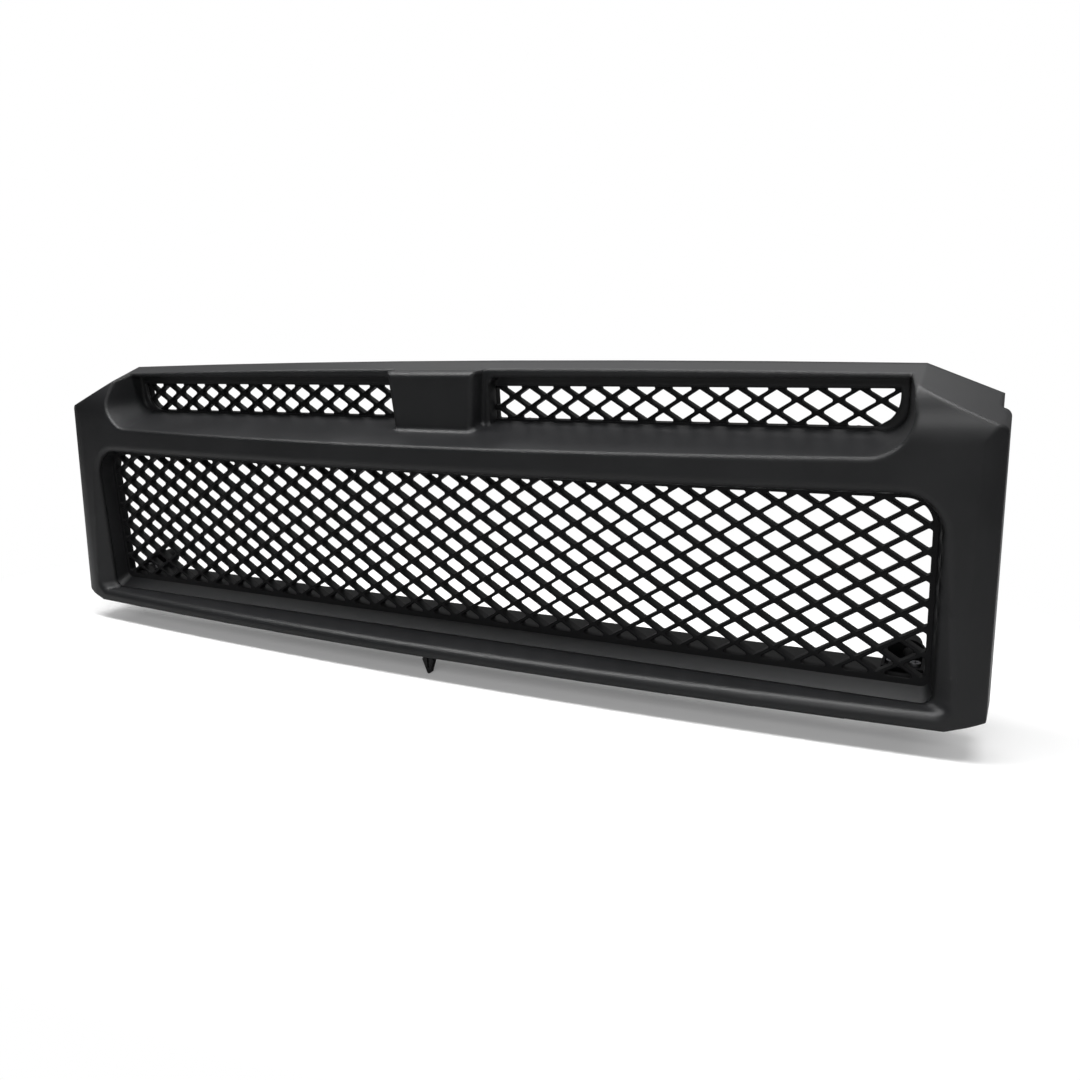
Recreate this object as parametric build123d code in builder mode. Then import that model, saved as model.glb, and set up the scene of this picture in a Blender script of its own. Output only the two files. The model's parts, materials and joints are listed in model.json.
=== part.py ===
"""Front grille: a moulded shell with a lined lower mesh opening and two small upper mesh screens.

The grille stands upright as on the car: X is its width, its front faces -Y and Z is up.
The origin is under the middle, at the height of the locating clip's tip and at mid depth.
All sizes are in millimetres.
"""
from build123d import *
from math import atan, cos, degrees, radians, sin, tan
import os

# ---- Shell, seen from the front
overall_width = 825.0
clip_drop = 19.0            # the locating clip's tip lies this far under the shell
shell_bottom = clip_drop
ridge_height = 247.3        # rear top edge at the middle
ridge_crown = 3.6           # the ridge is this much lower at its two ends
ridge_half = 361.0          # the ridge turns down to the shoulder here
shoulder_slope = 0.4065     # fall of the shoulder along X
lower_corner_width = 23.5   # cut-off lower corners
lower_corner_height = 8.0
shoulder_radius = 5.0
side_round_width = 15.0      # the outer edges of the front are rounded off gently over this width
side_round_depth = 4.5
edge_radius = 1.6
mouth_radius = 6.0
recess_edge_radius = 2.0
plinth_radius = 4.5
plinth_foot_radius = 4.0
lip_radius = 1.2
lower_radius = 1.6

# ---- Shell, in depth
front_depth = 41.4          # foremost point of the lower band, before the mid plane
ridge_depth = 31.1          # rear top edge, behind the mid plane
mount_depth = 41.4          # rear faces of the corner brackets and of the upper tab
rim_depth = 12.0            # rear rim of the sides, the bottom and the bar
rake = 0.07                 # the front leans back by this much for each unit of height
bow_radius = 5500.0         # the front is bowed in plan
bend_start = ridge_height - 48.3    # the pillars start to curve back at this height
bend_radius = 55.0
top_slope = 0.33            # fall of the top face towards the front
wall = 3.0
rim_height = ridge_height - 60.3    # above this the shell runs back to the ridge
flange_half = 407.0         # behind the rim depth, the shoulder ends here with a turned-down edge
flange_edge_height = 9.0

# ---- Lower opening
seam_depth = -15.0          # joint between shell and liner
opening_half = 380.0        # at the joint
opening_bottom = 31.0
opening_top = 165.4
opening_rise = 2.3          # the top edge rises this much towards its ends
opening_low_radius = 8.0
opening_high_radius = 24.0
flare_run = 45.0            # the mouth is drawn this far in front of the joint
flare_side = 54.0           # and grows there by these amounts
flare_low = 4.8
flare_high = 4.0

# ---- Upper recess and slots
recess_depth = 24.8         # face of the slot plate
recess_half = 352.0
recess_bottom = ridge_height - 46.0
recess_radius = 14.0
recess_run = 85.0           # the recess mouth is drawn this far in front of the slot plate
recess_side = 19.5          # and grows there by these amounts
recess_fall = 22.5
recess_mouth_radius = 42.0
rail_bottom = ridge_height - 11.6
lip_depth = 14.6            # front of the top rail
slot_plate = 2.5
slot_bottom = ridge_height - 44.9
slot_top = ridge_height - 19.3
slot_inner = 44.5
slot_outer = 347.0
slot_radius = 5.0
slot_corner_radius = 20.0
plate_bottom = slot_bottom - 14.9   # the slot plate runs down behind the recess floor
plate_half = recess_half + 4.0
window_half = 28.0          # window in the slot plate behind the plinth

# ---- Badge plinth
plinth_top_half = 42.0
plinth_bottom_half = 35.5
plinth_face = 0.0
plinth_top = ridge_height - 6.3     # the plinth's top is level, at the height of the rail's lip
plinth_base_half = 45.0     # behind the rail's lip the plinth stands on a wider base
plinth_base_radius = 7.0

# ---- Mesh
cell_width = 27.5
cell_ratio = 0.6228
lattice_height = 107.0      # height between two rows of cells in the lower mesh
bar_width = 2.6
mesh_depth = 7.2
mesh_border = 3.4
mesh_fit = 0.3
ledge_depth = -mesh_depth / 2
ledge_half = opening_half - 3.2
ledge_bottom = opening_bottom + 7.3
ledge_top = opening_top - 1.4
ledge_low_radius = 6.0
ledge_high_radius = 20.0
rebate = 3.0
mesh_floor = ledge_bottom + 4.5     # top of the lower mesh's bottom border
shelf_depth = 27.0          # the bottom border runs back to here as a ledge
upper_mesh_depth = 6.5
upper_border = 8.0
upper_first_cell = 59.7     # first cell of the lower of the two full rows
upper_row_height = slot_bottom + 8.5    # centre of the lower of the two full rows
pin_clearance = 0.3

# ---- Liner
liner_wall = 2.5
liner_flange = 16.0
liner_rim = 0.5             # rear rim of the liner
flange_depth = -12.0        # front of the liner's flange
seam_gap = 0.4

# ---- Fixings
boss_radius = 4.5
screw_radius = 1.75
pilot_radius = 1.55
pilot_play = 0.5            # a pilot hole is this much deeper than its screw
screw_clearance = 0.3
screw_head_radius = 3.4
screw_head_height = 2.2
screw_length = 9.0
liner_screw_x = (75.0, 225.0)
liner_screw_height = opening_top + 11.8
side_screw_x = opening_half + 10.0
side_screw_heights = (50.0, 100.0)
ear_x = (0.0, 150.0, 300.0)
side_ear_heights = (75.0, 130.0)
ear_thickness = mesh_depth / 2 - liner_rim
ear_radius = 5.5
pin_radius = 2.0
pin_length = 8.5
pin_x = (70.0, 195.0, 320.0)
pin_low = slot_bottom - 4.4
pin_high = slot_top + 4.0
nut_radius = 4.6
nut_play = 0.05
nut_thickness = 0.6
tab_half = 14.0
tab_thickness = 3.0
tab_hole_radius = 3.5
tab_hole_depth = 35.0
tab_end = mount_depth - 1.0
ear_tab_x = plate_half + 15.0
ear_tab_height = ridge_height - 31.3
ear_tab_half_height = 12.0
u_nut_gauge = 0.8
u_nut_half = 8.0
u_nut_gap = 0.1
bracket_inner = ledge_half - 31.8
bracket_outer = ledge_half - 4.8
bracket_thickness = 3.0
bracket_top = 59.5
bracket_hole_radius = 3.3
bracket_boss_radius = 7.2
bracket_hole_x = ledge_half - 16.8
bracket_hole_height = 50.6
bracket_front = 6.0
bracket_radius = 11.0
bracket_screw_y = 13.0
bracket_screw_x = (ledge_half - 25.8, ledge_half - 10.8)
bracket_screw_length = 7.0
clip_y = -26.0
clip_stem_radius = 3.0
clip_stem_length = 4.5
clip_head_radius = 6.5
clip_head_height = 2.0
clip_blade_half = 5.6
clip_blade_thickness = 5.0
clip_slot = 1.6
clip_play = 0.1
clip_barb = 2.0
clip_tip_half = 1.6
clip_slot_bottom = 5.0
bracket_rib = 2.0
bracket_rib_height = 7.0
thread_radius = 1.5
drive_length = 3.6
drive_width = 0.9
drive_depth = 1.2
nut_cuts = 4
nut_cut_length = 1.8
nut_cut_width = 0.8
u_nut_thread = 2.6

half_width = overall_width / 2
cell_height = cell_width * cell_ratio
row_pitch = cell_height / 2
bow_centre = bow_radius - front_depth
far = 60.0                  # reach of cutting bodies past the rear
side_flip = (-1, 1)
side_align = {-1: Align.MAX, 1: Align.MIN}


def at_depth(y):
    """Upright plane at a depth, drawn in X and Z as seen from the front."""
    return Plane.XZ.offset(-y)


# ---- Shell

def front_body(inset):
    """Bowed and raked body behind the front face, turned about the far bow axis."""
    face_low = -front_depth
    bend_y = face_low + rake * (bend_start - shell_bottom)
    top = ridge_height + wall
    lean = atan(rake)
    turn = radians(38.0)
    centre_y = bend_y + bend_radius * cos(lean)
    centre_z = bend_start - bend_radius * sin(lean)
    mid = (centre_y - bend_radius * cos(lean + turn / 2), centre_z + bend_radius * sin(lean + turn / 2))
    end = (centre_y - bend_radius * cos(lean + turn), centre_z + bend_radius * sin(lean + turn))
    leave = (end[0] + (top - end[1]) * tan(lean + turn), top)
    with BuildPart() as body:
        with BuildSketch(Plane.YZ):
            with BuildLine():
                Polyline((far, shell_bottom), (face_low, shell_bottom), (bend_y, bend_start))
                ThreePointArc((bend_y, bend_start), mid, end)
                Polyline(end, leave, (far, top), (far, shell_bottom))
            make_face()
            if inset > 0:
                offset(amount=-inset, mode=Mode.REPLACE)
        spread = degrees(half_width * 1.05 / bow_centre)
        revolve(axis=Axis((0, bow_centre, 0), (0, 0, 1)), revolution_arc=spread)
        mirror(about=Plane.YZ)
    return body.part


def outline_body(inset):
    """Front outline of the shell as a prism, with its cut-off lower corners."""
    low = shell_bottom
    with BuildPart() as body:
        with BuildSketch(at_depth(far)):
            with BuildLine():
                Polyline(
                    (half_width - lower_corner_width, low),
                    (half_width, low + lower_corner_height),
                    (half_width, ridge_height + wall),
                    (-half_width, ridge_height + wall),
                    (-half_width, low + lower_corner_height),
                    (lower_corner_width - half_width, low),
                    close=True,
                )
            make_face()
            if inset > 0:
                offset(amount=-inset, mode=Mode.REPLACE)
        extrude(amount=2 * far)
    return body.part


def above_top(inset):
    """Everything above the sloping top face: crowned at the middle, falling at the shoulders."""
    reach = half_width + 20
    drop = ridge_height - inset
    end = drop - ridge_crown
    outer = end - (reach - ridge_half) * shoulder_slope
    with BuildPart() as body:
        with BuildSketch(at_depth(ridge_depth)):
            with BuildLine():
                ThreePointArc((-ridge_half, end), (0, drop), (ridge_half, end))
                Polyline(
                    (ridge_half, end),
                    (reach, outer),
                    (reach, ridge_height + far),
                    (-reach, ridge_height + far),
                    (-reach, outer),
                    (-ridge_half, end),
                )
            make_face()
        extrude(amount=2 * far, dir=(0, -1, -top_slope))
        with BuildSketch(at_depth(far)):
            with Locations((0, ridge_height)):
                Rectangle(2 * reach, 2 * wall + 80, align=(Align.CENTER, Align.MIN))
        extrude(amount=far - ridge_depth)
        add(plinth_block(inset, plinth_top - inset), mode=Mode.SUBTRACT)
    return body.part


def pillar_rounding(inset):
    """What the gently rounded outer edges of the front take off, following the rake."""
    width = half_width + wall
    start = half_width - side_round_width
    bow = start**2 / (2 * bow_radius)
    tangent = start / bow_radius
    with BuildPart() as cut:
        with BuildSketch(Plane.XY.offset(shell_bottom)):
            for side in side_flip:
                with BuildLine():
                    low = (side * start, inset + bow - front_depth)
                    arc = TangentArc(
                        low,
                        (side * half_width, low[1] + side_round_depth),
                        tangent=(side, tangent),
                    )
                    Polyline(
                        arc @ 1,
                        (side * width, low[1] + side_round_depth),
                        (side * width, low[1] - far),
                        (side * start, low[1] - far),
                        low,
                    )
                make_face()
        extrude(amount=ridge_height, dir=(0, rake, 1))
    return cut.part


def outer_edge(edge):
    """True for the front's outer edges: up the sides, round the corner and along the shoulder."""
    spot = edge.center()
    box = edge.bounding_box()
    side = abs(spot.X) > half_width - 1 and edge.length > 100
    beyond = box.min.X > ridge_half + 0.5 or box.max.X < -ridge_half - 0.5
    shoulder = beyond and box.min.Z > bend_start + 5
    return (side or shoulder) and box.max.Y < -1 and edge.length > 2


def envelope(inset):
    """Outer shape of the shell, or its hollow when inset by the wall."""
    outline = outline_body(inset)
    over = above_top(inset)
    rounding = pillar_rounding(inset)
    with BuildPart() as body:
        add(front_body(inset))
        add(outline, mode=Mode.INTERSECT)
        add(over, mode=Mode.SUBTRACT)
        add(rounding, mode=Mode.SUBTRACT)
        sides = body.faces().filter_by(Axis.X).filter_by(lambda f: abs(f.center().X) > ridge_half)
        corners = sides.edges().filter_by(lambda e: e.center().Z > ridge_height - 2 * far)
        corners = corners.filter_by(GeomType.LINE)
        corners = corners.filter_by(lambda e: e.bounding_box().size.Y > e.length / 2)
        corners = corners.filter_by(lambda e: e.center().Y < ridge_depth)
        fillet(corners, shoulder_radius - inset)
        if inset == 0:
            fillet(body.edges().filter_by(outer_edge), edge_radius)
    return body.part


def opening_face(y, half, bottom, top, low_radius, high_radius, grow=0.0):
    """Lower opening's outline at a depth; its top edge rises a little towards its ends."""
    side = half + grow
    low = bottom - grow
    high = top + grow
    with BuildSketch(at_depth(y)) as sketch:
        with BuildLine():
            Polyline((-side, high + opening_rise), (-side, low), (side, low), (side, high + opening_rise))
            ThreePointArc((side, high + opening_rise), (0, high), (-side, high + opening_rise))
        make_face()
        fillet(sketch.vertices().group_by(Axis.Y)[0], low_radius + grow)
        fillet(sketch.vertices().group_by(Axis.Y)[-1], high_radius + grow)
    return sketch.sketch


def seam_face(y, grow=0.0):
    """Outline of the lower opening where shell and liner meet."""
    return opening_face(
        y, opening_half, opening_bottom, opening_top, opening_low_radius, opening_high_radius, grow
    )


def ledge_face(y, grow=0.0):
    """Outline of the liner's ledge, which the lower mesh rests on."""
    return opening_face(
        y, ledge_half, ledge_bottom, ledge_top, ledge_low_radius, ledge_high_radius, grow
    )


def opening_mouth(grow):
    """Flared mouth of the lower opening, from the joint forwards."""
    front = opening_face(
        seam_depth - flare_run,
        opening_half + flare_side,
        opening_bottom - flare_low,
        opening_top + flare_high,
        opening_low_radius + flare_low,
        opening_high_radius + flare_side / 2,
        grow,
    )
    return loft([seam_face(seam_depth, grow), front], ruled=True)


def recess_face(y, half, bottom, radius, top, grow=0.0):
    """Outline of the upper recess at a depth: rounded lower corners, square upper ones."""
    with BuildSketch(at_depth(y)) as sketch:
        with Locations((0, bottom - grow)):
            Rectangle(2 * (half + grow), top - bottom + grow, align=(Align.CENTER, Align.MIN))
        fillet(sketch.vertices().group_by(Axis.Y)[0], radius + grow)
    return sketch.sketch


def recess_block(top, grow=0.0):
    """Upper recess, open to the front, up to a given height."""
    front = recess_face(
        recess_depth - recess_run,
        recess_half + recess_side,
        recess_bottom - recess_fall,
        recess_mouth_radius,
        top,
        grow,
    )
    rear = recess_face(recess_depth, recess_half, recess_bottom, recess_radius, top, grow)
    return loft([rear, front], ruled=True)


def plinth_block(inset, top):
    """Badge plinth between the two slots, from its face back to the slot plate, up to a given height."""
    low = recess_bottom - recess_fall
    with BuildPart() as block:
        with BuildSketch(at_depth(far)):
            with BuildLine():
                Polyline(
                    (-plinth_bottom_half + inset, low),
                    (plinth_bottom_half - inset, low),
                    (plinth_top_half - inset, top),
                    (inset - plinth_top_half, top),
                    close=True,
                )
            make_face()
        extrude(amount=far - plinth_face - inset)
    return block.part


def rail_block(inset):
    """Top rail over the recess and the plinth's base under it, from the rail's lip back."""
    low = rail_bottom + inset
    with BuildPart() as block:
        with BuildSketch(at_depth(far)) as front:
            with Locations((0, low)):
                Rectangle(overall_width, far, align=(Align.CENTER, Align.MIN))
                Rectangle(2 * (plinth_base_half - inset), 2 * far, align=(Align.CENTER, Align.MAX))
            inner = front.vertices().filter_by(lambda v: abs(v.X) < plinth_base_half + 1)
            inner = inner.filter_by(lambda v: abs(v.Y - low) < 1)
            fillet(inner, plinth_base_radius + inset)
        extrude(amount=far - lip_depth - inset)
    return block.part


def recess_cut(grow):
    """What the upper recess takes away: the pocket without the rail and the plinth."""
    with BuildPart() as cut:
        add(recess_block(ridge_height + far, grow))
        add(rail_block(grow), mode=Mode.SUBTRACT)
        add(plinth_block(grow, ridge_height + wall), mode=Mode.SUBTRACT)
    return cut.part


def slot_face(y, side, grow=0.0):
    """Outline of one upper slot: its outer lower corner is cut by a large radius."""
    centre = (side * (slot_inner + slot_outer) / 2, (slot_bottom + slot_top) / 2)
    with BuildSketch(at_depth(y)) as sketch:
        with Locations(centre):
            Rectangle(slot_outer - slot_inner + 2 * grow, slot_top - slot_bottom + 2 * grow)
        low_outer = sketch.vertices().sort_by(Axis.X, reverse=side > 0)[:2].sort_by(Axis.Y)[0]
        rest = [v for v in sketch.vertices() if v.distance_to(low_outer) > 1]
        fillet(low_outer, slot_corner_radius + grow)
        fillet(rest, slot_radius + grow)
    return sketch.sketch


def slot_plate_block():
    """Plate behind the recess that holds the upper screens; it runs down behind the recess floor."""
    with BuildPart() as plate:
        with BuildSketch(at_depth(recess_depth + slot_plate)):
            with Locations((0, plate_bottom)):
                height = rail_bottom + wall - plate_bottom
                Rectangle(2 * plate_half, height, align=(Align.CENTER, Align.MIN))
        extrude(amount=slot_plate)
    return plate.part


def shell_hollow():
    """Space inside the shell: its envelope set in by the wall, less the walls of recess and mouth."""
    recess = recess_cut(wall)
    mouth = opening_mouth(wall)
    plate = slot_plate_block()
    with BuildPart() as hollow:
        add(envelope(wall))
        add(recess, mode=Mode.SUBTRACT)
        add(mouth, mode=Mode.SUBTRACT)
        add(plate, mode=Mode.SUBTRACT)
    return hollow.part


def clear_of_joint(edge):
    """True for an edge that has no end on the joint's plane."""
    return all(abs(v.Y - seam_depth) > 0.1 for v in edge.vertices())


def mouth_edge(edge):
    """True for the edges where the lower opening's mouth meets the front face."""
    spot = edge.center()
    inside = opening_bottom - wall < spot.Z < opening_top + 2 * wall
    inside = inside and abs(spot.X) < half_width - side_round_width
    return inside and spot.Y < seam_depth - 0.5 and edge.length > 10 and clear_of_joint(edge)


def recess_edge(edge):
    """True for the bar's top edge and the recess's end edges on the front face."""
    spot = edge.center()
    inside = recess_bottom - recess_fall < spot.Z < rail_bottom and abs(spot.X) < ridge_half + 1
    seam_line = abs(spot.Z - bend_start) < 0.2
    return inside and edge.bounding_box().max.Y < -1 and edge.length > 10 and not seam_line


def plinth_edge(edge):
    """True for the edges round the plinth's face."""
    spot = edge.center()
    return abs(spot.X) < plinth_top_half and abs(spot.Y - plinth_face) < 0.3 and spot.Z > slot_bottom


def foot_edge(edge):
    """True for the edges round the plinth's foot, in front of the rail's lip."""
    box = edge.bounding_box()
    near = abs(edge.center().X) < plinth_top_half
    near = near and plinth_face - 1 < box.min.Y and box.max.Y < lip_depth + 0.5
    low = recess_bottom - 10 < edge.center().Z < slot_bottom - 1
    return near and low and box.size.Y < lip_depth - wall


def lip_edge(edge):
    """True for the front edge of the top rail."""
    spot = edge.center()
    return abs(spot.Y - lip_depth) < 0.6 and spot.Z > rail_bottom + 1 and edge.length > 100


def lower_edge(edge):
    """True for the front's bottom edge and its cut-off corners."""
    return edge.center().Z < shell_bottom + lower_corner_height and edge.bounding_box().max.Y < -10


outer_shell = envelope(0)
mouth_cut = opening_mouth(0)
recess_space = recess_cut(0)
hollow_space = shell_hollow()

with BuildPart() as fascia:
    add(outer_shell)
    with BuildSketch(at_depth(far)):
        Rectangle(2 * overall_width, rim_height, align=(Align.CENTER, Align.MIN))
    extrude(amount=far - rim_depth, mode=Mode.SUBTRACT)
    with BuildSketch(at_depth(far)):
        Rectangle(2 * overall_width, 4 * ridge_height)
    extrude(amount=far - ridge_depth, mode=Mode.SUBTRACT)
    with BuildSketch(at_depth(far)):
        for side in side_flip:
            with Locations((side * flange_half, shell_bottom)):
                Rectangle(overall_width, 2 * ridge_height, align=(side_align[side], Align.MIN))
    extrude(amount=far - rim_depth, mode=Mode.SUBTRACT)
    add(recess_space, mode=Mode.SUBTRACT)
    add(mouth_cut, mode=Mode.SUBTRACT)
    fillet(fascia.edges().filter_by(mouth_edge), mouth_radius)
    fillet(fascia.edges().filter_by(recess_edge), recess_edge_radius)
    fillet(fascia.edges().filter_by(plinth_edge), plinth_radius)
    fillet(fascia.edges().filter_by(lip_edge), lip_radius)
    fillet(fascia.edges().filter_by(lower_edge), lower_radius)
    fillet(fascia.edges().filter_by(foot_edge), plinth_foot_radius)
    add(hollow_space, mode=Mode.SUBTRACT)

# Slots, and the pins beside them that hold the screens
pin_spots = [(side * x, z) for side in side_flip for x in pin_x for z in (pin_low, pin_high)]
slot_faces = [slot_face(recess_depth + slot_plate, side) for side in side_flip]
with BuildPart() as fascia_slots:
    for face in slot_faces:
        extrude(face, amount=slot_plate)
    with BuildSketch(at_depth(recess_depth + slot_plate)):
        with Locations((0, (slot_bottom + slot_top) / 2)):
            RectangleRounded(2 * window_half, slot_top - slot_bottom, slot_radius)
    extrude(amount=slot_plate)
with BuildPart() as fascia_pins:
    with BuildSketch(at_depth(recess_depth + slot_plate)):
        with Locations(*pin_spots):
            Circle(pin_radius)
    extrude(amount=-pin_length)

# Bosses for the liner's screws, from the joint forward to the front face
top_spots = [(side * x, liner_screw_height) for side in side_flip for x in liner_screw_x]
side_spots = [(side * side_screw_x, z) for side in side_flip for z in side_screw_heights]
liner_spots = top_spots + side_spots
with BuildPart() as fascia_bosses:
    with BuildSketch(at_depth(flange_depth)):
        with Locations(*liner_spots):
            Circle(boss_radius)
    extrude(amount=front_depth)
    add(outer_shell, mode=Mode.INTERSECT)
    add(mouth_cut, mode=Mode.SUBTRACT)
with BuildPart() as fascia_pilots:
    with BuildSketch(at_depth(flange_depth)):
        with Locations(*liner_spots):
            Circle(pilot_radius)
    extrude(amount=screw_length - liner_wall + pilot_play)

# Upper fixing tabs: one flat at the middle, one upright at each end
with BuildPart() as fascia_tabs:
    with BuildSketch(Plane.XY.offset(rail_bottom)):
        with Locations((0, recess_depth)):
            Rectangle(2 * tab_half, tab_end - recess_depth, align=(Align.CENTER, Align.MIN))
    extrude(amount=tab_thickness)
    with BuildSketch(at_depth(recess_depth + tab_thickness)):
        with Locations(*[(side * (plate_half + ear_tab_x) / 2, ear_tab_height) for side in side_flip]):
            Rectangle(ear_tab_x - plate_half, 2 * ear_tab_half_height)
        with Locations(*[(side * ear_tab_x, ear_tab_height) for side in side_flip]):
            Circle(ear_tab_half_height)
    extrude(amount=tab_thickness)
with BuildPart() as tab_holes:
    with BuildSketch(Plane.XY.offset(rail_bottom)):
        with Locations((0, tab_hole_depth)):
            Circle(tab_hole_radius)
    extrude(amount=tab_thickness)
    with BuildSketch(at_depth(recess_depth + tab_thickness)):
        with Locations(*[(side * ear_tab_x, ear_tab_height) for side in side_flip]):
            Circle(tab_hole_radius)
    extrude(amount=tab_thickness)

# Turned-down ends of the top flange
flange_edge_top = ridge_height - ridge_crown - (flange_half - ridge_half) * shoulder_slope
with BuildPart() as flange_edges:
    with BuildSketch(at_depth(ridge_depth)):
        for side in side_flip:
            with Locations((side * (flange_half - wall / 2), flange_edge_top + wall)):
                Rectangle(wall, flange_edge_height + wall, align=(Align.CENTER, Align.MAX))
    extrude(amount=ridge_depth - rim_depth + wall)
    add(outer_shell, mode=Mode.INTERSECT)

# Hole for the locating clip in the bottom wall
with BuildPart() as clip_hole:
    with BuildSketch(Plane.XY.offset(shell_bottom)):
        with Locations((0, clip_y)):
            Circle(clip_stem_radius + clip_play)
    extrude(amount=wall)

with fascia:
    add(fascia_slots.part, mode=Mode.SUBTRACT)
    add(fascia_pins.part)
    add(fascia_bosses.part)
    add(fascia_tabs.part)
    add(flange_edges.part)
    add(fascia_pilots.part, mode=Mode.SUBTRACT)
    add(tab_holes.part, mode=Mode.SUBTRACT)
    add(clip_hole.part, mode=Mode.SUBTRACT)

fascia.part.label = "fascia"


# ---- Liner of the lower opening

liner_front = seam_depth + seam_gap
ear_height = opening_top + liner_wall + ear_radius + 1.5
side_ear_x = opening_half + liner_wall + ear_radius
ear_spots = [(x, ear_height) for x in sorted({side * x for side in side_flip for x in ear_x})]
ear_spots += [(side * side_ear_x, z) for side in side_flip for z in side_ear_heights]
liner_bore = loft([seam_face(seam_depth), ledge_face(ledge_depth)], ruled=True)
liner_skin = loft(
    [seam_face(liner_front, liner_wall), ledge_face(ledge_depth, rebate + liner_wall)], ruled=True
)
flange_rear = flange_depth + liner_wall
flange_face = seam_face(flange_rear, liner_flange)
wall_face = ledge_face(liner_rim, rebate + liner_wall)
rebate_face = ledge_face(liner_rim, rebate)
floor_gap = shell_bottom + wall + 2.5

with BuildPart() as lower_surround:
    extrude(flange_face, amount=liner_wall)
    with BuildSketch(at_depth(far)):
        Rectangle(2 * overall_width, floor_gap, align=(Align.CENTER, Align.MIN))
    extrude(amount=2 * far, mode=Mode.SUBTRACT)
    add(liner_skin)
    extrude(wall_face, amount=liner_rim - ledge_depth)
    with BuildSketch(at_depth(liner_rim)):
        with Locations(*ear_spots):
            Circle(boss_radius)
    extrude(amount=liner_rim - flange_depth)
    extrude(rebate_face, amount=liner_rim - ledge_depth, mode=Mode.SUBTRACT)
    add(liner_bore, mode=Mode.SUBTRACT)
    with BuildSketch(at_depth(liner_rim)):
        with Locations(*ear_spots):
            Circle(pilot_radius)
    extrude(amount=screw_length - ear_thickness + pilot_play, mode=Mode.SUBTRACT)
    with BuildSketch(at_depth(flange_rear)):
        with Locations(*liner_spots):
            Circle(screw_radius + screw_clearance)
    extrude(amount=liner_wall, mode=Mode.SUBTRACT)
lower_surround.part.label = "lower_surround"


# ---- Mesh screens

def cell_spots(rows, columns, first_x, first_z, shift):
    """Centres of a lattice of cells; every second row is shifted by half a cell."""
    spots = []
    for row in range(rows):
        for column in range(columns):
            offset_x = (row + shift) % 2 * cell_width / 2
            spots.append((first_x + column * cell_width + offset_x, first_z + row * row_pitch))
    return spots


def cell_polygon():
    """Half axes of the open diamond between four bars."""
    slant = cell_width * cell_height / 2 / (cell_width**2 + cell_height**2) ** 0.5
    share = 1 - bar_width / 2 / slant
    half_x = share * cell_width / 2
    half_z = share * cell_height / 2
    return [(half_x, 0), (0, half_z), (-half_x, 0), (0, -half_z)]


def screen_face(y, outline, window, spots):
    """Face of a screen at a depth: its outline with the diamonds cut out inside the window."""
    with BuildSketch(at_depth(y)) as cells:
        with Locations(*spots):
            Polygon(*cell_polygon(), align=None)
        add(window, mode=Mode.INTERSECT)
    return Face(outline.face().outer_wire(), [cell.outer_wire() for cell in cells.sketch.faces()])


mesh_rear = mesh_depth / 2
low_rows = 15
low_columns = 29
low_first_row = -7.5        # rows of cells from the lattice height down to the mesh floor
low_first_z = lattice_height + low_first_row * row_pitch
low_first_x = -(low_columns - 1) / 2 * cell_width
with BuildSketch(at_depth(mesh_rear)) as low_window:
    add(ledge_face(mesh_rear, -mesh_border))
    with Locations((0, mesh_floor)):
        Rectangle(overall_width, far, align=(Align.CENTER, Align.MAX), mode=Mode.SUBTRACT)
low_screen = screen_face(
    mesh_rear,
    ledge_face(mesh_rear, rebate - mesh_fit),
    low_window.sketch,
    cell_spots(low_rows, low_columns, low_first_x, low_first_z, 0),
)

# Ears for the mesh's screws, and the ledge behind its bottom border that takes the brackets' screws
bracket_spots = [(side * x, bracket_screw_y) for side in side_flip for x in bracket_screw_x]
with BuildPart() as mesh_fixings:
    with BuildSketch(at_depth(mesh_rear)):
        for x, z in ear_spots:
            inward = (0, -ear_radius) if abs(x) < side_ear_x else (-ear_radius if x > 0 else ear_radius, 0)
            with Locations((x, z)):
                Circle(ear_radius)
            with Locations((x + inward[0], z + inward[1])):
                Rectangle(2 * ear_radius, 2 * ear_radius)
        with Locations(*ear_spots):
            Circle(screw_radius + screw_clearance, mode=Mode.SUBTRACT)
    extrude(amount=mesh_rear - liner_rim)
    with BuildSketch(at_depth(shelf_depth)):
        with Locations((0, mesh_floor)):
            shelf_width = 2 * (ledge_half - mesh_border)
            Rectangle(shelf_width, bracket_thickness, align=(Align.CENTER, Align.MAX))
    extrude(amount=shelf_depth)
    with BuildSketch(Plane.XY.offset(mesh_floor)):
        with Locations(*bracket_spots):
            Circle(pilot_radius)
    extrude(amount=-bracket_thickness, mode=Mode.SUBTRACT)

with BuildPart() as lower_mesh:
    extrude(low_screen, amount=mesh_depth)
    add(mesh_fixings.part)
lower_mesh.part.label = "lower_mesh"

upper_mesh_front = recess_depth + slot_plate
upper_mesh_rear = upper_mesh_front + upper_mesh_depth
upper_rows = 4
upper_columns = 14
upper_names = {-1: "left", 1: "right"}
upper_meshes = {}
for side in side_flip:
    spots = cell_spots(
        upper_rows, upper_columns, upper_first_cell - cell_width / 2, upper_row_height - row_pitch, 0
    )
    upper_screen = screen_face(
        upper_mesh_rear,
        slot_face(upper_mesh_rear, side, upper_border),
        slot_face(upper_mesh_rear, side),
        [(side * x, z) for x, z in spots],
    )
    with BuildPart() as upper_mesh:
        extrude(upper_screen, amount=upper_mesh_depth)
        with BuildSketch(at_depth(upper_mesh_rear)):
            with Locations(*[spot for spot in pin_spots if spot[0] * side > 0]):
                Circle(pin_radius + pin_clearance)
        extrude(amount=upper_mesh_depth, mode=Mode.SUBTRACT)
    upper_mesh.part.label = "upper_mesh_" + upper_names[side]
    upper_meshes[side] = upper_mesh.part


# ---- Corner brackets

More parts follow.
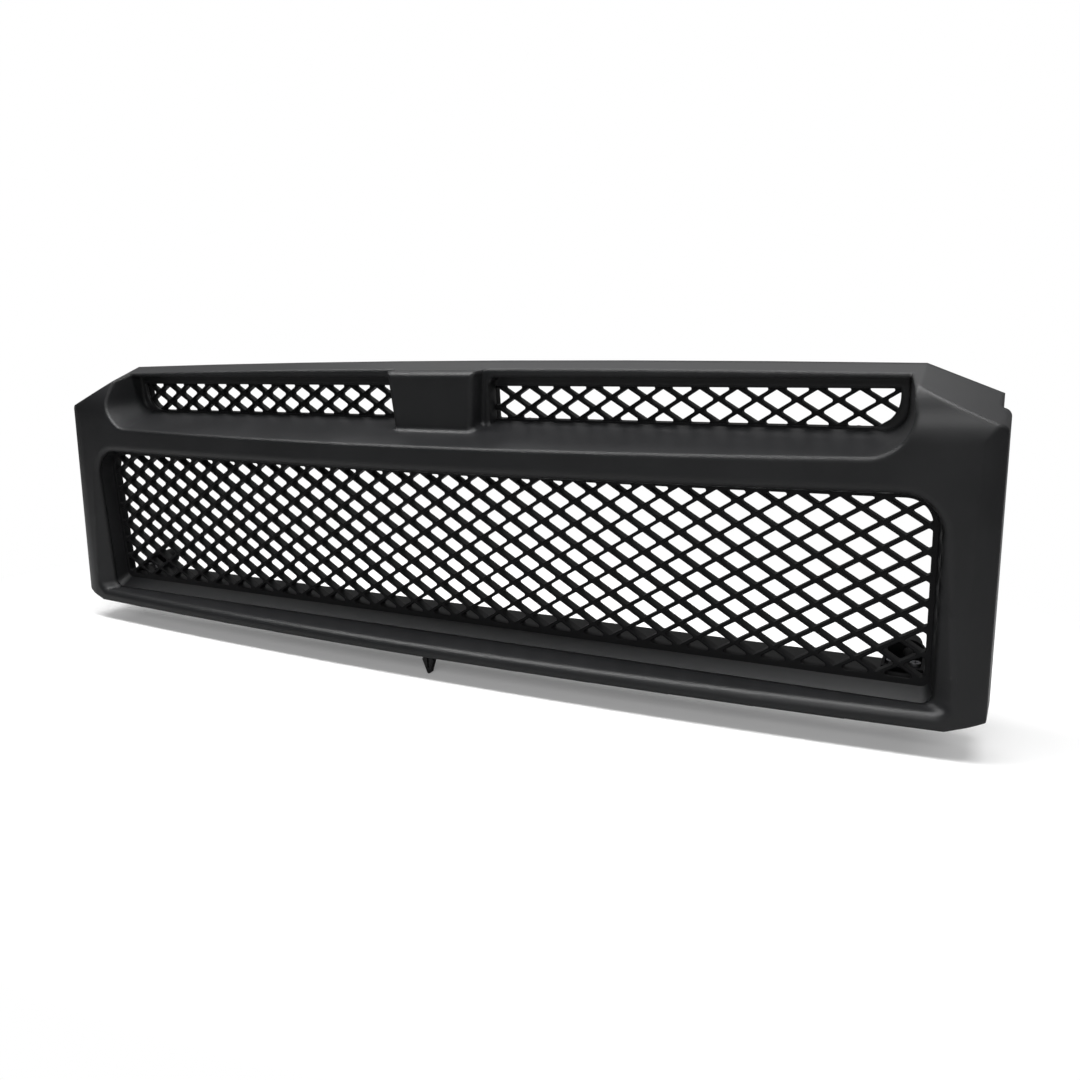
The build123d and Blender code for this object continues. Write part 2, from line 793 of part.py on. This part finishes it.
bracket_parts = {}
base_top = mesh_floor + bracket_thickness
for side in side_flip:
    middle = side * (bracket_inner + bracket_outer) / 2
    width = bracket_outer - bracket_inner
    hole = (side * bracket_hole_x, bracket_hole_height)
    ear_front = shelf_depth - bracket_thickness
    with BuildPart() as bracket:
        with BuildSketch(Plane.XY.offset(mesh_floor)):
            with Locations((middle, bracket_front)):
                Rectangle(width, shelf_depth - bracket_front, align=(Align.CENTER, Align.MIN))
        extrude(amount=bracket_thickness)
        with BuildSketch(at_depth(shelf_depth)) as ear:
            with Locations((middle, mesh_floor)):
                Rectangle(width, bracket_top - mesh_floor, align=(Align.CENTER, Align.MIN))
            fillet(ear.vertices().group_by(Axis.Y)[-1], bracket_radius)
        extrude(amount=bracket_thickness)
        with BuildSketch(at_depth(mount_depth)):
            with Locations(hole):
                Circle(bracket_boss_radius)
        extrude(amount=mount_depth - shelf_depth)
        for edge_x in (bracket_inner, bracket_outer - bracket_rib):
            with BuildSketch(Plane.YZ.offset(min(side * edge_x, side * (edge_x + bracket_rib)))):
                Polygon(
                    (ear_front, base_top),
                    (ear_front, base_top + bracket_rib_height),
                    (bracket_front, base_top),
                    align=None,
                )
            extrude(amount=bracket_rib)
        with BuildSketch(at_depth(mount_depth)):
            with Locations(hole):
                Circle(bracket_hole_radius)
        extrude(amount=mount_depth - ear_front, mode=Mode.SUBTRACT)
        with BuildSketch(Plane.XY.offset(mesh_floor)):
            with Locations(*[(side * x, bracket_screw_y) for x in bracket_screw_x]):
                Circle(screw_radius + screw_clearance)
        extrude(amount=bracket_thickness, mode=Mode.SUBTRACT)
    bracket.part.label = "lower_bracket_" + upper_names[side]
    bracket_parts[side] = bracket.part


# ---- Locating clip

clip_top = shell_bottom + wall
blade_top = shell_bottom - clip_stem_length
with BuildPart() as locating_clip:
    with BuildSketch(Plane.XY.offset(clip_top)):
        with Locations((0, clip_y)):
            Circle(clip_head_radius)
    extrude(amount=clip_head_height)
    with BuildSketch(Plane.XY.offset(blade_top)):
        with Locations((0, clip_y)):
            Circle(clip_stem_radius)
    extrude(amount=clip_top - blade_top)
    with BuildSketch(at_depth(clip_y + clip_blade_thickness / 2)):
        with BuildLine():
            Polyline(
                (-clip_blade_half, blade_top - clip_barb),
                (-clip_stem_radius, blade_top),
                (clip_stem_radius, blade_top),
                (clip_blade_half, blade_top - clip_barb),
                (clip_tip_half, clip_tip_half),
            )
            ThreePointArc((clip_tip_half, clip_tip_half), (0, 0), (-clip_tip_half, clip_tip_half))
            Line((-clip_tip_half, clip_tip_half), (-clip_blade_half, blade_top - clip_barb))
        make_face()
    extrude(amount=clip_blade_thickness)
    with BuildSketch(at_depth(clip_y + clip_blade_thickness)):
        with Locations((0, clip_slot_bottom)):
            Rectangle(clip_slot, blade_top - clip_slot_bottom, align=(Align.CENTER, Align.MIN))
    extrude(amount=2 * clip_blade_thickness, mode=Mode.SUBTRACT)
locating_clip.part.label = "locating_clip"


# ---- Fasteners

def screws(plane, spots, length, label):
    """Pan-head screws whose heads stand on the given plane; their points follow its normal."""
    with BuildPart() as group:
        with BuildSketch(plane):
            with Locations(*spots):
                Circle(screw_head_radius)
        extrude(amount=-screw_head_height)
        with BuildSketch(plane):
            with Locations(*spots):
                Circle(thread_radius)
        extrude(amount=length)
        with BuildSketch(plane.offset(-screw_head_height)):
            with Locations(*spots):
                Rectangle(drive_length, drive_width)
                Rectangle(drive_width, drive_length)
        extrude(amount=drive_depth, mode=Mode.SUBTRACT)
    group.part.label = label
    return group.part


surround_screws = screws(at_depth(flange_rear), liner_spots, screw_length, "surround_screws")
mesh_screws = screws(at_depth(mesh_rear), ear_spots, screw_length, "mesh_screws")
bracket_screws = screws(
    Plane(origin=(0, 0, base_top), x_dir=(1, 0, 0), z_dir=(0, 0, -1)),
    [(x, -y) for x, y in bracket_spots],
    bracket_screw_length,
    "bracket_screws",
)

push_nuts = {}
for side in side_flip:
    with BuildPart() as nuts:
        with BuildSketch(at_depth(upper_mesh_rear + nut_thickness)):
            with Locations(*[spot for spot in pin_spots if spot[0] * side > 0]):
                Circle(nut_radius)
                Circle(pin_radius + nut_play, mode=Mode.SUBTRACT)
                with PolarLocations(0, nut_cuts):
                    with Locations(((nut_radius + pin_radius) / 2, 0)):
                        Rectangle(nut_cut_length, nut_cut_width, mode=Mode.SUBTRACT)
        extrude(amount=nut_thickness)
    nuts.part.label = "push_nuts_" + upper_names[side]
    push_nuts[side] = nuts.part


def u_nut(base, edge):
    """Sheet-steel U nut on a tab: base lies on the tab's near face at its hole, +X points to its edge."""
    tail = tab_hole_depth - recess_depth - slot_plate - u_nut_gap
    reach = edge + u_nut_gap + u_nut_gauge
    levels = (-u_nut_gap - u_nut_gauge, tab_thickness + u_nut_gap)
    with BuildPart() as nut:
        for level, hole in zip(levels, (u_nut_thread, tab_hole_radius)):
            with BuildSketch(base.offset(level)):
                with Locations((-tail, 0)):
                    Rectangle(tail + reach, 2 * u_nut_half, align=(Align.MIN, Align.CENTER))
                Circle(hole, mode=Mode.SUBTRACT)
            extrude(amount=u_nut_gauge)
        with BuildSketch(base.offset(levels[0])):
            with Locations((reach - u_nut_gauge, 0)):
                Rectangle(u_nut_gauge, 2 * u_nut_half, align=(Align.MIN, Align.CENTER))
        extrude(amount=levels[1] + u_nut_gauge - levels[0])
    return nut.part


middle_tab = Plane(origin=(0, tab_hole_depth, rail_bottom), x_dir=(0, 1, 0), z_dir=(0, 0, 1))
end_tabs = [
    Plane(origin=(side * ear_tab_x, recess_depth, ear_tab_height), x_dir=(side, 0, 0), z_dir=(0, 1, 0))
    for side in side_flip
]
nuts = [u_nut(middle_tab, tab_end - tab_hole_depth)]
nuts += [u_nut(plane, ear_tab_half_height) for plane in end_tabs]
with BuildPart() as spring_nuts:
    for nut in nuts:
        add(nut)
spring_nuts.part.label = "spring_nuts"


# ---- Export

pieces = [fascia.part, lower_surround.part, lower_mesh.part, *upper_meshes.values()]
pieces += [*bracket_parts.values(), locating_clip.part]
pieces += [surround_screws, mesh_screws, bracket_screws, *push_nuts.values(), spring_nuts.part]
os.makedirs("parts", exist_ok=True)
for piece in pieces:
    export_step(piece, "parts/" + piece.label + ".step")
    print(piece.label, len(piece.solids()), round(piece.volume))
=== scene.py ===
import json
import math

import bmesh
import bpy
from mathutils import Matrix, Vector


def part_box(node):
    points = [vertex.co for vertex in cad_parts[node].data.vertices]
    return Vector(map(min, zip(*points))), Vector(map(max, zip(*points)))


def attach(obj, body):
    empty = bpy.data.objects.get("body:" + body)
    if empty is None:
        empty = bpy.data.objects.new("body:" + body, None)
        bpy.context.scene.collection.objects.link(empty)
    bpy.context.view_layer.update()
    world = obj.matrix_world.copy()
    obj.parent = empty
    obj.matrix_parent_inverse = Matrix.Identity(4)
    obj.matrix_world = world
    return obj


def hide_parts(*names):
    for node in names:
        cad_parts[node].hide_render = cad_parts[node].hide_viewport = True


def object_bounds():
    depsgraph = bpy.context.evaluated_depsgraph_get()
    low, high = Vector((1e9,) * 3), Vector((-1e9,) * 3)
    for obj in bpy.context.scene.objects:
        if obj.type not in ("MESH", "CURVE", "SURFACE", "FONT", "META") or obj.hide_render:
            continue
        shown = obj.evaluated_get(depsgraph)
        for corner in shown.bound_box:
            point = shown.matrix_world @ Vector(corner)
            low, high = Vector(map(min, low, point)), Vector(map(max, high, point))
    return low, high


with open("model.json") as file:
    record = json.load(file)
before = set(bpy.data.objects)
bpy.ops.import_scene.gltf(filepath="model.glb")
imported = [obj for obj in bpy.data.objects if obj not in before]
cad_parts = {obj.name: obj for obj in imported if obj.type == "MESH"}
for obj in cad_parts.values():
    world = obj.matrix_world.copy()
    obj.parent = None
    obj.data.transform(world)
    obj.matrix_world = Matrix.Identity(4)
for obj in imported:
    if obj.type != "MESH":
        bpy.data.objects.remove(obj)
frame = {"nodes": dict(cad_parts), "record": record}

cad_low, cad_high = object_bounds()
nodes = frame["nodes"]

# ---- Camera, floor and light
CAMERA_AZIMUTH = math.radians(28.247)
CAMERA_ELEVATION = math.radians(14.181)
CAMERA_ROLL = math.radians(-2.405)
CAMERA_PLACE = Vector((0.4330, -0.6329, 0.2947))
CAMERA_LENS = 32.128        # lens and sensor in millimetres
SENSOR = 36.0

WHITE = (1, 1, 1, 1)
ROOM_BEHIND = 0.6           # how much the light of the room grows towards the back
ROOM_ABOVE = 0.8            # and towards the top
ROOM_DARKEST = -0.10        # these two mixes of back and top get the room's least and most light
ROOM_BRIGHTEST = 0.90
ROOM_LEAST = 0.02
ROOM_MOST = 0.32

FLOOR_REACH = 4.0           # half of the floor's width
FLOOR_GAP = 0.0002          # the floor lies this far under the lowest point
FLOOR_SEEN = (0.82, 0.82, 0.82, 1)      # its colour for the camera
FLOOR_BOUNCE = (0.38, 0.38, 0.38, 1)    # and for light that bounces off it
FLOOR_GLOW = 0.15           # lifts the shadow that the camera sees
FLOOR_STRETCH = (0.66, 1.0, 1.0)        # the shadow's area is an oval, longer along X
FADE_START = 0.24           # between these two distances the floor fades into plain white
FADE_END = 0.42

LAMPS = (
    # name, place, point aimed at, width, depth, power in watts
    ("softbox_top", (-0.12, -0.14, 1.35), (-0.12, -0.10, 0.1), 2.2, 0.30, 29.0),
    ("softbox_back", (-0.10, 0.80, 1.35), (0, 0, 0.15), 1.8, 0.4, 4.5),
    ("softbox_front", (0.55, -1.5, 1.15), (0, 0, 0.15), 1.4, 0.6, 10.0),
)


def linked(obj):
    """Puts an object in the scene's collection."""
    bpy.context.scene.collection.objects.link(obj)
    return obj


def make_camera():
    """The camera looks at the front from its +X end, a little from above."""
    level = math.cos(CAMERA_ELEVATION)
    back = Vector(
        (
            math.sin(CAMERA_AZIMUTH) * level,
            -math.cos(CAMERA_AZIMUTH) * level,
            math.sin(CAMERA_ELEVATION),
        )
    )
    right = Vector((0, 0, 1)).cross(back).normalized()
    up = back.cross(right)
    roll = Matrix.Rotation(CAMERA_ROLL, 3, back)
    right = roll @ right
    up = roll @ up
    data = bpy.data.cameras.new("camera")
    data.sensor_width = SENSOR
    data.lens = CAMERA_LENS
    camera = linked(bpy.data.objects.new("camera", data))
    camera.matrix_world = Matrix((right, up, back)).transposed().to_4x4()
    camera.location = CAMERA_PLACE
    bpy.context.scene.camera = camera


def node(tree, kind, inputs=None, **settings):
    """Adds a shader node, sets its properties and fills or links its inputs."""
    made = tree.nodes.new(kind)
    for name, value in settings.items():
        setattr(made, name, value)
    for name, value in (inputs or {}).items():
        if isinstance(value, bpy.types.NodeSocket):
            tree.links.new(value, made.inputs[name])
        else:
            made.inputs[name].default_value = value
    return made


def math_node(tree, operation, first, second=0.0, third=0.0):
    """Result socket of a maths node."""
    return node(tree, "ShaderNodeMath", {0: first, 1: second, 2: third}, operation=operation).outputs[0]


def new_material(name):
    """Empty node material and its output node."""
    material = bpy.data.materials.new(name)
    material.use_nodes = True
    tree = material.node_tree
    tree.nodes.clear()
    output = tree.nodes.new("ShaderNodeOutputMaterial")
    return material, tree, output


def make_world():
    """Plain white to the camera; for all other rays a room that is brighter above and behind."""
    world = bpy.data.worlds.new("studio")
    world.use_nodes = True
    bpy.context.scene.world = world
    tree = world.node_tree
    tree.nodes.clear()
    output = tree.nodes.new("ShaderNodeOutputWorld")
    direction = node(tree, "ShaderNodeTexCoord").outputs["Generated"]
    parts = node(tree, "ShaderNodeSeparateXYZ", {0: direction})
    behind = math_node(tree, "MULTIPLY", parts.outputs["Y"], ROOM_BEHIND)
    height = math_node(tree, "MULTIPLY_ADD", parts.outputs["Z"], ROOM_ABOVE, behind)
    level = node(
        tree,
        "ShaderNodeMapRange",
        {
            "Value": height,
            "From Min": ROOM_DARKEST,
            "From Max": ROOM_BRIGHTEST,
            "To Min": ROOM_LEAST,
            "To Max": ROOM_MOST,
        },
        interpolation_type="SMOOTHSTEP",
    )
    room = node(tree, "ShaderNodeBackground", {"Color": WHITE, "Strength": level.outputs[0]})
    white = node(tree, "ShaderNodeBackground", {"Color": WHITE, "Strength": 1.0})
    seen = node(tree, "ShaderNodeLightPath").outputs["Is Camera Ray"]
    mix = node(tree, "ShaderNodeMixShader", {0: seen, 1: room.outputs[0], 2: white.outputs[0]})
    tree.links.new(mix.outputs[0], output.inputs["Surface"])


def make_lamp(name, place, target, width, depth, power):
    """Rectangular soft light aimed at a point."""
    data = bpy.data.lights.new(name, "AREA")
    data.shape = "RECTANGLE"
    data.size = width
    data.size_y = depth
    data.energy = power
    lamp = linked(bpy.data.objects.new(name, data))
    lamp.location = place
    lamp.rotation_mode = "QUATERNION"
    lamp.rotation_quaternion = (Vector(target) - Vector(place)).to_track_quat("-Z", "Y")


def floor_material():
    """Pale floor with the soft shadow near the grille; further out the camera sees plain white."""
    material, tree, output = new_material("floor_white")
    paint = node(tree, "ShaderNodeBsdfDiffuse", {"Color": FLOOR_SEEN})
    bounce = node(tree, "ShaderNodeBsdfDiffuse", {"Color": FLOOR_BOUNCE})
    glow = node(tree, "ShaderNodeEmission", {"Color": WHITE, "Strength": FLOOR_GLOW})
    both = node(tree, "ShaderNodeAddShader", {0: paint.outputs[0], 1: glow.outputs[0]})
    seen = node(tree, "ShaderNodeLightPath").outputs["Is Camera Ray"]
    near = node(tree, "ShaderNodeMixShader", {0: seen, 1: bounce.outputs[0], 2: both.outputs[0]})
    white = node(tree, "ShaderNodeEmission", {"Color": WHITE, "Strength": 1.0})
    place = node(tree, "ShaderNodeTexCoord").outputs["Object"]
    oval = node(tree, "ShaderNodeVectorMath", {0: place, 1: FLOOR_STRETCH}, operation="MULTIPLY")
    length = node(tree, "ShaderNodeVectorMath", {0: oval.outputs[0]}, operation="LENGTH")
    fade = {"Value": length.outputs["Value"], "From Min": FADE_START, "From Max": FADE_END}
    far = node(tree, "ShaderNodeMapRange", fade)
    share = math_node(tree, "MULTIPLY", far.outputs[0], seen)
    ground = node(tree, "ShaderNodeMixShader", {0: share, 1: near.outputs[0], 2: white.outputs[0]})
    tree.links.new(ground.outputs[0], output.inputs["Surface"])
    return material


def make_floor():
    """Large plain floor under the lowest point."""
    mesh = bpy.data.meshes.new("floor")
    turns = ((-1, -1), (1, -1), (1, 1), (-1, 1))
    corners = [(FLOOR_REACH * along, FLOOR_REACH * across, 0) for along, across in turns]
    mesh.from_pydata(corners, [], [(0, 1, 2, 3)])
    floor = linked(bpy.data.objects.new("floor", mesh))
    floor.location.z = cad_low.z - FLOOR_GAP
    mesh.materials.append(floor_material())


# ---- Materials
NOISE_LOW = 0.3             # most values of a noise lie between these two
NOISE_HIGH = 0.7
FLOW_SCALE = 22.0           # broad flow marks of the moulding
FLOW_TONE = 0.12            # they change the colour by this share
FLOW_SHEEN = 0.025          # and the roughness by this much
GRAIN_NOISE = 1.6           # the noise in the grain is finer than its cells by this factor
GRAIN_CELLS = 0.5           # share of the cells in the grain's relief
EDGE_SAMPLES = 4
BLOTCH_SCALE = 400.0        # blotches of plated steel
BLOTCH_TONE = (0.8, 1.15)
BLOTCH_SHEEN = 0.2
BLOTCH_STRENGTH = 0.4
BLOTCH_HEIGHT = 0.00002


def over_range(tree, noise, low, high):
    """Socket that goes from low to high over the usual range of a noise."""
    inputs = {"Value": noise, "From Min": NOISE_LOW, "From Max": NOISE_HIGH, "To Min": low, "To Max": high}
    return node(tree, "ShaderNodeMapRange", inputs).outputs[0]


def toned(tree, colour, tone):
    """Socket of a colour scaled by a tone."""
    return node(tree, "ShaderNodeVectorMath", {0: colour, "Scale": tone}, operation="SCALE").outputs[0]


def plastic(name, colour, roughness, specular, grain, grain_height, soft_edge=0.0):
    """Moulded black plastic: fine eroded grain, faint flow marks and a slightly uneven sheen.

    With a soft_edge the sheen runs softly over edges, within that distance.
    """
    material, tree, output = new_material(name)
    place = node(tree, "ShaderNodeTexCoord").outputs["Object"]
    cells = node(
        tree,
        "ShaderNodeTexVoronoi",
        {"Vector": place, "Scale": 1 / grain, "Randomness": 1.0},
        feature="SMOOTH_F1",
    )
    fine = node(tree, "ShaderNodeTexNoise", {"Vector": place, "Scale": GRAIN_NOISE / grain, "Detail": 4.0})
    broad = node(tree, "ShaderNodeTexNoise", {"Vector": place, "Scale": FLOW_SCALE, "Detail": 5.0})
    relief = math_node(tree, "MULTIPLY_ADD", cells.outputs["Distance"], GRAIN_CELLS, fine.outputs["Fac"])
    bump = node(tree, "ShaderNodeBump", {"Strength": 1.0, "Distance": grain_height, "Height": relief})
    if soft_edge > 0:
        edges = node(tree, "ShaderNodeBevel", {"Radius": soft_edge}, samples=EDGE_SAMPLES)
        tree.links.new(edges.outputs[0], bump.inputs["Normal"])
    flow = broad.outputs["Fac"]
    tone = over_range(tree, flow, 1 - FLOW_TONE, 1 + FLOW_TONE)
    sheen = over_range(tree, flow, roughness - FLOW_SHEEN, roughness + FLOW_SHEEN)
    surface = node(
        tree,
        "ShaderNodeBsdfPrincipled",
        {
            "Base Color": toned(tree, colour, tone),
            "Roughness": sheen,
            "Specular IOR Level": specular,
            "Normal": bump.outputs[0],
        },
    )
    tree.links.new(surface.outputs[0], output.inputs["Surface"])
    return material


def metal(name, colour, roughness):
    """Plated steel with slight blotches in its tone, sheen and relief."""
    material, tree, output = new_material(name)
    place = node(tree, "ShaderNodeTexCoord").outputs["Object"]
    blotch = node(tree, "ShaderNodeTexNoise", {"Vector": place, "Scale": BLOTCH_SCALE, "Detail": 6.0})
    marks = blotch.outputs["Fac"]
    tone = over_range(tree, marks, *BLOTCH_TONE)
    rough = math_node(tree, "MULTIPLY_ADD", marks, BLOTCH_SHEEN, roughness - BLOTCH_SHEEN / 2)
    bump = node(
        tree,
        "ShaderNodeBump",
        {"Strength": BLOTCH_STRENGTH, "Distance": BLOTCH_HEIGHT, "Height": marks},
    )
    surface = node(
        tree,
        "ShaderNodeBsdfPrincipled",
        {
            "Base Color": toned(tree, colour, tone),
            "Metallic": 1.0,
            "Roughness": rough,
            "Normal": bump.outputs[0],
        },
    )
    tree.links.new(surface.outputs[0], output.inputs["Surface"])
    return material


PLASTICS = {
    # colour, roughness, specular level, size of the grain, its height, softening of the edges
    "shell_plastic": ((0.0135, 0.0138, 0.0148), 0.36, 0.42, 0.0006, 0.00001, 0.004),
    "liner_plastic": ((0.0110, 0.0113, 0.0122), 0.46, 0.30, 0.0006, 0.00001),
    "mesh_plastic": ((0.0070, 0.0072, 0.0078), 0.52, 0.16, 0.0005, 0.00001),
    "bracket_plastic": ((0.0070, 0.0070, 0.0076), 0.60, 0.14, 0.0008, 0.00002),
    "clip_plastic": ((0.0120, 0.0120, 0.0128), 0.45, 0.30, 0.0005, 0.00001),
}
METALS = {
    # colour, roughness
    "screw_steel": ((0.36, 0.36, 0.375), 0.42),
    "nut_steel": ((0.26, 0.26, 0.27), 0.45),
}
materials = {name: plastic(name, *look) for name, look in PLASTICS.items()}
materials.update({name: metal(name, *look) for name, look in METALS.items()})
slots = {part["node"]: part["material_slot"] for part in frame["record"]["subparts"]}


def paint_nodes():
    """Gives every CAD node the material of its slot."""
    for name, obj in nodes.items():
        obj.data.materials.clear()
        obj.data.materials.append(materials[slots[name]])


# ---- Mesh screens: the same lattice as the CAD nodes, with rounded cells and rounded front edges
CELL_RADIUS = 0.0013        # inner corner of a cell
CELL_TURN = math.radians(35.0)      # a sharper turn than this is a cell's corner
CORNER_STEPS = 4
CORNER_SHARE = 0.4          # a corner takes at most this share of the shorter edge beside it
BAR_ROUND = 0.0008          # front edges of the bars
ROUND_STEPS = 3
STRAIGHT = 0.005            # a turn of less than this, in radians, is no corner
SHARP_EDGE = math.radians(32.0)
ON_PLANE = 0.00002          # a face this close to a plane lies in it
SAME_SPOT = 1e6             # points are matched after rounding to this many steps in a metre
EAR_ZONE = 0.003            # the ears' highest points lie in this strip under the node's top
REAR_ZONE = 0.001           # the ledge's rear edge lies in this strip at the node's back
LEDGE_PLAY = 0.0001         # the ledge's top starts at the screen's rear plane, within this


def plane_loops(obj, axis, level, sign, keep=lambda point: True):
    """Closed outlines of a node's flat faces in one plane: 2-D points across the given axis."""
    mesh = obj.data
    across = [index for index in range(3) if index != axis]
    spots = {}
    order = []
    index_of = []
    for vertex in mesh.vertices:
        key = tuple(round(value * SAME_SPOT) for value in vertex.co)
        if key not in spots:
            spots[key] = len(order)
            order.append(vertex.co.copy())
        index_of.append(spots[key])
    rim = {}        # edges with a face on one side only, in the order they were met
    for face in mesh.polygons:
        corners = [index_of[index] for index in face.vertices]
        flat = all(abs(order[index][axis] - level) < ON_PLANE for index in corners)
        if flat and face.normal[axis] * sign > 0.5 and all(keep(order[index]) for index in corners):
            for first, second in zip(corners, corners[1:] + corners[:1]):
                if (second, first) in rim:
                    del rim[(second, first)]
                else:
                    rim[(first, second)] = True
    following = dict(rim.keys())
    loops = []
    while following:
        start, current = following.popitem()
        loop = [start]
        while current != start:
            loop.append(current)
            current = following.pop(current)
        points = [Vector((order[index][across[0]], order[index][across[1]])) for index in loop]
        loops.append(without_straight(points))
    loops.sort(key=lambda points: -abs(area_of(points)))
    return [points if area_of(points) > 0 else points[::-1] for points in loops]


def area_of(points):
    """Signed area of a 2-D outline, positive anticlockwise."""
    return sum(first.cross(second) for first, second in zip(points, points[1:] + points[:1])) / 2


def turn_at(points, index):
    """Signed turn of an outline at one of its points."""
    before = points[index] - points[index - 1]
    after = points[(index + 1) % len(points)] - points[index]
    return math.atan2(before.cross(after), before.dot(after))


def without_straight(points):
    """The outline without the points that lie on its straight runs."""
    return [point for index, point in enumerate(points) if abs(turn_at(points, index)) > STRAIGHT]


def widened(points, grow):
    """An anticlockwise outline moved outwards by a distance, corner for corner."""
    moved = []
    for index, point in enumerate(points):
        before = (point - points[index - 1]).normalized()
        after = (points[(index + 1) % len(points)] - point).normalized()
        side = Vector((before.y + after.y, -before.x - after.x))
        moved.append(point + side * (grow / (1 + before.dot(after))))
    return moved


def corner_radii(points):
    """Radius for each sharp corner of an outline, as large as its edges allow, and none elsewhere."""
    radii = []
    for index, point in enumerate(points):
        turn = turn_at(points, index)
        if turn < CELL_TURN:
            radii.append(None)
            continue
        before = (point - points[index - 1]).length
        after = (points[(index + 1) % len(points)] - point).length
        radii.append(min(CELL_RADIUS, CORNER_SHARE * min(before, after) / math.tan(turn / 2)))
    return radii


def rounded(points, radii, grow):
    """The widened outline with its sharp corners rounded."""
    wide = widened(points, grow)
    outline = []
    for index, point in enumerate(wide):
        if radii[index] is None:
            outline.append(point)
            continue
        radius = radii[index] + grow
        before = (point - wide[index - 1]).normalized()
        turn = turn_at(wide, index)
        reach = radius * math.tan(turn / 2)
        centre = point - before * reach + Vector((-before.y, before.x)) * radius
        start = math.atan2(-before.x, before.y)
        for step in range(CORNER_STEPS + 1):
            angle = start + turn * step / CORNER_STEPS
            outline.append(centre + radius * Vector((math.cos(angle), math.sin(angle))))
    return outline


def lifted(point, axis, level):
    """A 2-D point of a plane across an axis, as a place in space."""
    return Vector((point.x, point.y, level)) if axis == 2 else Vector((point.x, level, point.y))


def add_slab(work, loops, axis, front, rear, soft):
    """Adds a slab with holes between two planes; with soft, the cells' front rims are rounded."""
    inward = 1 if rear > front else -1
    fills = {front: [], rear: []}
    for number, points in enumerate(loops):
        radii = corner_radii(points) if number else [None] * len(points)
        cell = soft and any(radius is not None for radius in radii)
        levels = [(rear, 0.0), (front, 0.0)]
        if cell:
            levels = [(rear, 0.0)]
            for step in range(ROUND_STEPS + 1):
                angle = math.pi / 2 * step / ROUND_STEPS
                depth = front + inward * BAR_ROUND * (1 - math.sin(angle))
                levels.append((depth, BAR_ROUND * (1 - math.cos(angle))))
        rings = []
        for level, grow in levels:
            outline = rounded(points, radii, grow) if cell else points
            rings.append([work.verts.new(lifted(point, axis, level)) for point in outline])
        for lower, upper in zip(rings, rings[1:]):
            for index in range(len(lower)):
                following = (index + 1) % len(lower)
                work.faces.new((lower[index], lower[following], upper[following], upper[index]))
        for level, ring in ((rear, rings[0]), (front, rings[-1])):
            for index, vertex in enumerate(ring):
                edge = work.edges.get((vertex, ring[(index + 1) % len(ring)]))
                fills[level].append(edge)
    normal = (0, 0, 1) if axis == 2 else (0, 1, 0)
    for edges in fills.values():
        bmesh.ops.triangle_fill(work, edges=edges, use_beauty=True, normal=normal)


def finish_mesh(work, name, node_name):
    """Turns the work mesh into a smooth-shaded piece that stands for a CAD node."""
    bmesh.ops.recalc_face_normals(work, faces=work.faces)
    mesh = bpy.data.meshes.new(name)
    work.to_mesh(mesh)
    work.free()
    mesh.shade_smooth()
    mesh.set_sharp_from_angle(angle=SHARP_EDGE)
    piece = linked(bpy.data.objects.new(name, mesh))
    mesh.materials.append(materials[slots[node_name]])
    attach(piece, "root")
    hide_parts(node_name)


def split_groups(loops):
    """Separates outlines into groups, each an outer outline followed by the holes inside it."""
    groups = []
    for points in loops:
        centre = sum(points, Vector((0, 0))) / len(points)
        for group in groups:
            xs = [point.x for point in group[0]]
            ys = [point.y for point in group[0]]
            if min(xs) < centre.x < max(xs) and min(ys) < centre.y < max(ys):
                group.append(points)
                break
        else:
            groups.append([points])
    return groups


def make_upper_screen(node_name):
    """Small screen behind one upper slot."""
    low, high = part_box(node_name)
    work = bmesh.new()
    add_slab(work, plane_loops(nodes[node_name], 1, low.y, -1), 1, low.y, high.y, True)
    finish_mesh(work, node_name.replace("mesh", "screen"), node_name)


def make_lower_screen():
    """Large screen with the ears for its screws and the ledge behind its bottom border."""
    obj = nodes["lower_mesh"]
    low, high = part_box("lower_mesh")
    front = low.y
    rear = -low.y
    floor_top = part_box("lower_bracket_left")[0].z
    work = bmesh.new()
    add_slab(work, plane_loops(obj, 1, front, -1), 1, front, rear, True)
    spots = [vertex.co.copy() for vertex in obj.data.vertices]
    ear_level = min(spot.y for spot in spots if spot.z > high.z - EAR_ZONE and spot.y > front / 2)
    for ear in split_groups(plane_loops(obj, 1, ear_level, -1)):
        add_slab(work, ear, 1, ear_level, rear, False)
    ledge_low = min(spot.z for spot in spots if spot.y > high.y - REAR_ZONE)
    ledge = plane_loops(obj, 2, floor_top, 1, lambda point: point.y > rear - LEDGE_PLAY)
    add_slab(work, ledge, 2, floor_top, ledge_low, False)
    finish_mesh(work, "lower_screen", "lower_mesh")


# ---- The scene
bpy.context.scene.view_settings.view_transform = "Standard"
make_camera()
make_world()
make_floor()
for lamp_settings in LAMPS:
    make_lamp(*lamp_settings)
paint_nodes()
make_lower_screen()
for upper_mesh in ("upper_mesh_left", "upper_mesh_right"):
    make_upper_screen(upper_mesh)
